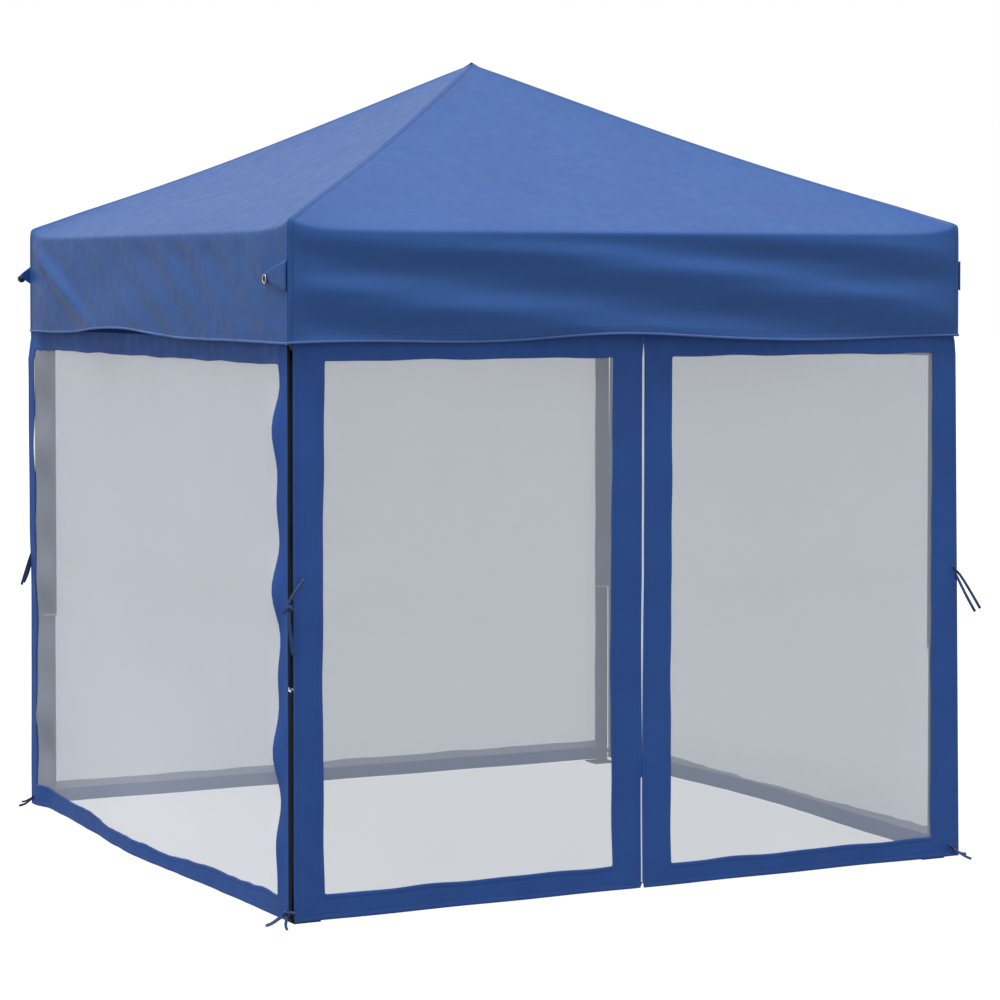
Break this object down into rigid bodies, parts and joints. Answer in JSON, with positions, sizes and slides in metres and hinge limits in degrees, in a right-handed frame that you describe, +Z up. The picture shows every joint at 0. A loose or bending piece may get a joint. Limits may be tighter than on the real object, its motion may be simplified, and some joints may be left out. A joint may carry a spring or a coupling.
{
  "type": "pop up gazebo",
  "caption": "Square pop up gazebo with a scissor frame, telescopic legs, a pyramid fabric canopy with a valance, and net side walls with a zipped front.",
  "frame": {"origin": "on the ground at the middle of the four legs", "axes": "+Z up, the zipped front wall faces -Y, +X to the right of the front"},
  "size_m": [2, 2, 2.1997],
  "materials": {
    "leg_steel": "satin black powder coat",
    "bar_aluminium": "satin black powder coat",
    "bracket_plastic": "moulded black",
    "button_plastic": "moulded grey",
    "canopy_fabric": "coated polyester",
    "wall_net": "fine net",
    "wall_border": "woven polyester"
  },
  "bodies": {
    "frame_root": {"upper_leg_front_left": "leg_steel", "corner_bracket_front_left": "bracket_plastic", "wall_front": "wall_net", "wall_left": "wall_net", "valance": "canopy_fabric"},
    "leg_front_right": {"upper_leg_front_right": "leg_steel", "corner_bracket_front_right": "bracket_plastic", "wall_right": "wall_net"},
    "leg_back_left": {"upper_leg_back_left": "leg_steel", "corner_bracket_back_left": "bracket_plastic", "wall_back": "wall_net"},
    "leg_back_right": {"upper_leg_back_right": "leg_steel", "corner_bracket_back_right": "bracket_plastic"},
    "front_bar_a1": {"front_scissor_a1": "bar_aluminium"},
    "front_bar_b1": {"front_scissor_b1": "bar_aluminium"},
    "front_bar_a2": {"front_scissor_a2": "bar_aluminium"},
    "front_bar_b2": {"front_scissor_b2": "bar_aluminium"},
    "middle_front": {"middle_bracket_front": "bracket_plastic"},
    "left_bar_a1": {"left_scissor_a1": "bar_aluminium"},
    "left_bar_b1": {"left_scissor_b1": "bar_aluminium"},
    "left_bar_a2": {"left_scissor_a2": "bar_aluminium"},
    "left_bar_b2": {"left_scissor_b2": "bar_aluminium"},
    "middle_left": {"middle_bracket_left": "bracket_plastic"},
    "right_bar_a1": {"right_scissor_a1": "bar_aluminium"},
    "right_bar_b1": {"right_scissor_b1": "bar_aluminium"},
    "right_bar_a2": {"right_scissor_a2": "bar_aluminium"},
    "right_bar_b2": {"right_scissor_b2": "bar_aluminium"},
    "middle_right": {"middle_bracket_right": "bracket_plastic"},
    "back_bar_a1": {"back_scissor_a1": "bar_aluminium"},
    "back_bar_b1": {"back_scissor_b1": "bar_aluminium"},
    "back_bar_a2": {"back_scissor_a2": "bar_aluminium"},
    "back_bar_b2": {"back_scissor_b2": "bar_aluminium"},
    "middle_back": {"middle_bracket_back": "bracket_plastic"},
    "slide_front_left": {"slider_front_left": "bracket_plastic"},
    "slide_front_right": {"slider_front_right": "bracket_plastic"},
    "slide_back_left": {"slider_back_left": "bracket_plastic"},
    "slide_back_right": {"slider_back_right": "bracket_plastic"},
    "strut_front": {"roof_strut_front": "bar_aluminium"},
    "strut_right": {"roof_strut_right": "bar_aluminium"},
    "strut_back": {"roof_strut_back": "bar_aluminium"},
    "strut_left": {"roof_strut_left": "bar_aluminium"},
    "hub": {"hub": "bracket_plastic", "peak_pole": "bar_aluminium", "peak_cap": "bracket_plastic"},
    "roof_front_lower": {"roof_lower_front": "canopy_fabric"},
    "roof_front_upper": {"roof_upper_front": "canopy_fabric"},
    "roof_right_lower": {"roof_lower_right": "canopy_fabric"},
    "roof_right_upper": {"roof_upper_right": "canopy_fabric"},
    "roof_back_lower": {"roof_lower_back": "canopy_fabric"},
    "roof_back_upper": {"roof_upper_back": "canopy_fabric"},
    "roof_left_lower": {"roof_lower_left": "canopy_fabric"},
    "roof_left_upper": {"roof_upper_left": "canopy_fabric"},
    "inner_leg_front_left": {"lower_leg_front_left": "leg_steel"},
    "inner_leg_front_right": {"lower_leg_front_right": "leg_steel"},
    "inner_leg_back_left": {"lower_leg_back_left": "leg_steel"},
    "inner_leg_back_right": {"lower_leg_back_right": "leg_steel"},
    "button_front_left": {"slider_button_front_left": "button_plastic"},
    "button_front_right": {"slider_button_front_right": "button_plastic"},
    "button_back_left": {"slider_button_back_left": "button_plastic"},
    "button_back_right": {"slider_button_back_right": "button_plastic"}
  },
  "joints": [
    {"name": "gazebo_fold", "type": "hinge", "parent": "frame_root", "child": "front_bar_a1", "pos_m": [-0.905, -0.95, 1.69], "axis": [0, 1, 0], "range_deg": [0, 67], "deforming": ["wall_front", "roof_lower_front", "roof_upper_front", "wall_right", "roof_lower_right", "roof_upper_right", "wall_back", "roof_lower_back", "roof_upper_back", "wall_left", "roof_lower_left", "roof_upper_left", "valance"]},
    {"name": "front_scissor_1", "type": "hinge", "parent": "front_bar_a1", "child": "front_bar_b1", "pos_m": [-0.4525, -0.95, 1.56875], "axis": [0, -1, 0], "range_deg": [0, 134]},
    {"name": "front_scissor_middle", "type": "hinge", "parent": "front_bar_a1", "child": "front_bar_b2", "pos_m": [0, -0.95, 1.44751], "axis": [0, -1, 0], "range_deg": [0, 134]},
    {"name": "front_scissor_2", "type": "hinge", "parent": "front_bar_b2", "child": "front_bar_a2", "pos_m": [0.4525, -0.95, 1.56875], "axis": [0, 1, 0], "range_deg": [0, 134]},
    {"name": "middle_upright_front", "type": "hinge", "parent": "front_bar_a1", "child": "middle_front", "pos_m": [0, -0.95, 1.44751], "axis": [0, -1, 0], "range_deg": [0, 67]},
    {"name": "leg_upright_front_right", "type": "hinge", "parent": "front_bar_b2", "child": "leg_front_right", "pos_m": [0.905, -0.95, 1.69], "axis": [0, 1, 0], "range_deg": [0, 67]},
    {"name": "left_fold", "type": "hinge", "parent": "frame_root", "child": "left_bar_a1", "pos_m": [-0.95, -0.905, 1.69], "axis": [-1, 0, 0], "range_deg": [0, 67]},
    {"name": "left_scissor_1", "type": "hinge", "parent": "left_bar_a1", "child": "left_bar_b1", "pos_m": [-0.95, -0.4525, 1.56875], "axis": [1, 0, 0], "range_deg": [0, 134]},
    {"name": "left_scissor_middle", "type": "hinge", "parent": "left_bar_a1", "child": "left_bar_b2", "pos_m": [-0.95, 0, 1.44751], "axis": [1, 0, 0], "range_deg": [0, 134]},
    {"name": "left_scissor_2", "type": "hinge", "parent": "left_bar_b2", "child": "left_bar_a2", "pos_m": [-0.95, 0.4525, 1.56875], "axis": [-1, 0, 0], "range_deg": [0, 134]},
    {"name": "middle_upright_left", "type": "hinge", "parent": "left_bar_a1", "child": "middle_left", "pos_m": [-0.95, 0, 1.44751], "axis": [1, 0, 0], "range_deg": [0, 67]},
    {"name": "leg_upright_back_left", "type": "hinge", "parent": "left_bar_b2", "child": "leg_back_left", "pos_m": [-0.95, 0.905, 1.69], "axis": [-1, 0, 0], "range_deg": [0, 67]},
    {"name": "right_fold", "type": "hinge", "parent": "leg_front_right", "child": "right_bar_a1", "pos_m": [0.95, -0.905, 1.69], "axis": [-1, 0, 0], "range_deg": [0, 67]},
    {"name": "right_scissor_1", "type": "hinge", "parent": "right_bar_a1", "child": "right_bar_b1", "pos_m": [0.95, -0.4525, 1.56875], "axis": [1, 0, 0], "range_deg": [0, 134]},
    {"name": "right_scissor_middle", "type": "hinge", "parent": "right_bar_a1", "child": "right_bar_b2", "pos_m": [0.95, 0, 1.44751], "axis": [1, 0, 0], "range_deg": [0, 134]},
    {"name": "right_scissor_2", "type": "hinge", "parent": "right_bar_b2", "child": "right_bar_a2", "pos_m": [0.95, 0.4525, 1.56875], "axis": [-1, 0, 0], "range_deg": [0, 134]},
    {"name": "middle_upright_right", "type": "hinge", "parent": "right_bar_a1", "child": "middle_right", "pos_m": [0.95, 0, 1.44751], "axis": [1, 0, 0], "range_deg": [0, 67]},
    {"name": "leg_upright_back_right", "type": "hinge", "parent": "right_bar_b2", "child": "leg_back_right", "pos_m": [0.95, 0.905, 1.69], "axis": [-1, 0, 0], "range_deg": [0, 67]},
    {"name": "back_fold", "type": "hinge", "parent": "leg_back_left", "child": "back_bar_a1", "pos_m": [-0.905, 0.95, 1.69], "axis": [0, 1, 0], "range_deg": [0, 67]},
    {"name": "back_scissor_1", "type": "hinge", "parent": "back_bar_a1", "child": "back_bar_b1", "pos_m": [-0.4525, 0.95, 1.56875], "axis": [0, -1, 0], "range_deg": [0, 134]},
    {"name": "back_scissor_middle", "type": "hinge", "parent": "back_bar_a1", "child": "back_bar_b2", "pos_m": [0, 0.95, 1.44751], "axis": [0, -1, 0], "range_deg": [0, 134]},
    {"name": "back_scissor_2", "type": "hinge", "parent": "back_bar_b2", "child": "back_bar_a2", "pos_m": [0.4525, 0.95, 1.56875], "axis": [0, 1, 0], "range_deg": [0, 134]},
    {"name": "middle_upright_back", "type": "hinge", "parent": "back_bar_a1", "child": "middle_back", "pos_m": [0, 0.95, 1.44751], "axis": [0, -1, 0], "range_deg": [0, 67]},
    {"name": "slider_upright_front_left", "type": "hinge", "parent": "front_bar_b1", "child": "slide_front_left", "pos_m": [-0.905, -0.95, 1.44751], "axis": [0, 1, 0], "range_deg": [0, 67]},
    {"name": "slider_upright_front_right", "type": "hinge", "parent": "right_bar_b1", "child": "slide_front_right", "pos_m": [0.95, -0.905, 1.44751], "axis": [-1, 0, 0], "range_deg": [0, 67]},
    {"name": "slider_upright_back_left", "type": "hinge", "parent": "back_bar_b1", "child": "slide_back_left", "pos_m": [-0.905, 0.95, 1.44751], "axis": [0, 1, 0], "range_deg": [0, 67]},
    {"name": "slider_upright_back_right", "type": "hinge", "parent": "right_bar_a2", "child": "slide_back_right", "pos_m": [0.95, 0.905, 1.44751], "axis": [1, 0, 0], "range_deg": [0, 67]},
    {"name": "strut_raise_front", "type": "hinge", "parent": "middle_front", "child": "strut_front", "pos_m": [0, -0.9275, 1.44751], "axis": [1, 0, 0], "range_deg": [0, 67]},
    {"name": "hub_upright", "type": "hinge", "parent": "strut_front", "child": "hub", "pos_m": [0, -0.0225, 1.69], "axis": [-1, 0, 0], "range_deg": [0, 67]},
    {"name": "strut_raise_right", "type": "hinge", "parent": "hub", "child": "strut_right", "pos_m": [0.0225, 0, 1.69], "axis": [0, 1, 0], "range_deg": [0, 67]},
    {"name": "strut_raise_back", "type": "hinge", "parent": "hub", "child": "strut_back", "pos_m": [0, 0.0225, 1.69], "axis": [-1, 0, 0], "range_deg": [0, 67]},
    {"name": "strut_raise_left", "type": "hinge", "parent": "hub", "child": "strut_left", "pos_m": [-0.0225, 0, 1.69], "axis": [0, -1, 0], "range_deg": [0, 67]},
    {"name": "roof_drop_front", "type": "hinge", "parent": "frame_root", "child": "roof_front_lower", "pos_m": [0, -1, 1.712], "axis": [-1, 0, 0], "range_deg": [0, 104.58]},
    {"name": "roof_crease_front", "type": "hinge", "parent": "roof_front_lower", "child": "roof_front_upper", "pos_m": [0, -0.72575, 1.8472], "axis": [1, 0, 0], "range_deg": [0, 156.67]},
    {"name": "roof_drop_right", "type": "hinge", "parent": "leg_front_right", "child": "roof_right_lower", "pos_m": [1, 0, 1.712], "axis": [0, -1, 0], "range_deg": [0, 104.58]},
    {"name": "roof_crease_right", "type": "hinge", "parent": "roof_right_lower", "child": "roof_right_upper", "pos_m": [0.72575, 0, 1.8472], "axis": [0, 1, 0], "range_deg": [0, 156.67]},
    {"name": "roof_drop_back", "type": "hinge", "parent": "leg_back_left", "child": "roof_back_lower", "pos_m": [0, 1, 1.712], "axis": [1, 0, 0], "range_deg": [0, 104.58]},
    {"name": "roof_crease_back", "type": "hinge", "parent": "roof_back_lower", "child": "roof_back_upper", "pos_m": [0, 0.72575, 1.8472], "axis": [-1, 0, 0], "range_deg": [0, 156.67]},
    {"name": "roof_drop_left", "type": "hinge", "parent": "frame_root", "child": "roof_left_lower", "pos_m": [-1, 0, 1.712], "axis": [0, 1, 0], "range_deg": [0, 104.58]},
    {"name": "roof_crease_left", "type": "hinge", "parent": "roof_left_lower", "child": "roof_left_upper", "pos_m": [-0.72575, 0, 1.8472], "axis": [0, -1, 0], "range_deg": [0, 156.67]},
    {"name": "leg_slide_front_left", "type": "slide", "parent": "frame_root", "child": "inner_leg_front_left", "axis": [0, 0, 1], "range_m": [0, 0.45]},
    {"name": "leg_slide_front_right", "type": "slide", "parent": "leg_front_right", "child": "inner_leg_front_right", "axis": [0, 0, 1], "range_m": [0, 0.45]},
    {"name": "leg_slide_back_left", "type": "slide", "parent": "leg_back_left", "child": "inner_leg_back_left", "axis": [0, 0, 1], "range_m": [0, 0.45]},
    {"name": "leg_slide_back_right", "type": "slide", "parent": "leg_back_right", "child": "inner_leg_back_right", "axis": [0, 0, 1], "range_m": [0, 0.45]},
    {"name": "button_press_front_left", "type": "slide", "parent": "slide_front_left", "child": "button_front_left", "axis": [-1, 0, 0], "range_m": [0, 0.003], "stiffness_N_per_m": 400},
    {"name": "button_press_front_right", "type": "slide", "parent": "slide_front_right", "child": "button_front_right", "axis": [1, 0, 0], "range_m": [0, 0.003], "stiffness_N_per_m": 400},
    {"name": "button_press_back_left", "type": "slide", "parent": "slide_back_left", "child": "button_back_left", "axis": [-1, 0, 0], "range_m": [0, 0.003], "stiffness_N_per_m": 400},
    {"name": "button_press_back_right", "type": "slide", "parent": "slide_back_right", "child": "button_back_right", "axis": [1, 0, 0], "range_m": [0, 0.003], "stiffness_N_per_m": 400}
  ],
  "couplings": [
    {"joint": "front_scissor_1", "follows": "gazebo_fold", "ratio": 2},
    {"joint": "front_scissor_middle", "follows": "gazebo_fold", "ratio": 2},
    {"joint": "front_scissor_2", "follows": "gazebo_fold", "ratio": 2},
    {"joint": "middle_upright_front", "follows": "gazebo_fold", "ratio": 1},
    {"joint": "leg_upright_front_right", "follows": "gazebo_fold", "ratio": 1},
    {"joint": "left_fold", "follows": "gazebo_fold", "ratio": 1},
    {"joint": "left_scissor_1", "follows": "gazebo_fold", "ratio": 2},
    {"joint": "left_scissor_middle", "follows": "gazebo_fold", "ratio": 2},
    {"joint": "left_scissor_2", "follows": "gazebo_fold", "ratio": 2},
    {"joint": "middle_upright_left", "follows": "gazebo_fold", "ratio": 1},
    {"joint": "leg_upright_back_left", "follows": "gazebo_fold", "ratio": 1},
    {"joint": "right_fold", "follows": "gazebo_fold", "ratio": 1},
    {"joint": "right_scissor_1", "follows": "gazebo_fold", "ratio": 2},
    {"joint": "right_scissor_middle", "follows": "gazebo_fold", "ratio": 2},
    {"joint": "right_scissor_2", "follows": "gazebo_fold", "ratio": 2},
    {"joint": "middle_upright_right", "follows": "gazebo_fold", "ratio": 1},
    {"joint": "leg_upright_back_right", "follows": "gazebo_fold", "ratio": 1},
    {"joint": "back_fold", "follows": "gazebo_fold", "ratio": 1},
    {"joint": "back_scissor_1", "follows": "gazebo_fold", "ratio": 2},
    {"joint": "back_scissor_middle", "follows": "gazebo_fold", "ratio": 2},
    {"joint": "back_scissor_2", "follows": "gazebo_fold", "ratio": 2},
    {"joint": "middle_upright_back", "follows": "gazebo_fold", "ratio": 1},
    {"joint": "slider_upright_front_left", "follows": "gazebo_fold", "ratio": 1},
    {"joint": "slider_upright_front_right", "follows": "gazebo_fold", "ratio": 1},
    {"joint": "slider_upright_back_left", "follows": "gazebo_fold", "ratio": 1},
    {"joint": "slider_upright_back_right", "follows": "gazebo_fold", "ratio": 1},
    {"joint": "strut_raise_front", "follows": "gazebo_fold", "ratio": 1},
    {"joint": "hub_upright", "follows": "gazebo_fold", "ratio": 1},
    {"joint": "strut_raise_right", "follows": "gazebo_fold", "ratio": 1},
    {"joint": "strut_raise_back", "follows": "gazebo_fold", "ratio": 1},
    {"joint": "strut_raise_left", "follows": "gazebo_fold", "ratio": 1},
    {"joint": "roof_drop_front", "follows": "gazebo_fold", "ratio": 1.5609},
    {"joint": "roof_crease_front", "follows": "gazebo_fold", "ratio": 2.3384},
    {"joint": "roof_drop_right", "follows": "gazebo_fold", "ratio": 1.5609},
    {"joint": "roof_crease_right", "follows": "gazebo_fold", "ratio": 2.3384},
    {"joint": "roof_drop_back", "follows": "gazebo_fold", "ratio": 1.5609},
    {"joint": "roof_crease_back", "follows": "gazebo_fold", "ratio": 2.3384},
    {"joint": "roof_drop_left", "follows": "gazebo_fold", "ratio": 1.5609},
    {"joint": "roof_crease_left", "follows": "gazebo_fold", "ratio": 2.3384}
  ]
}
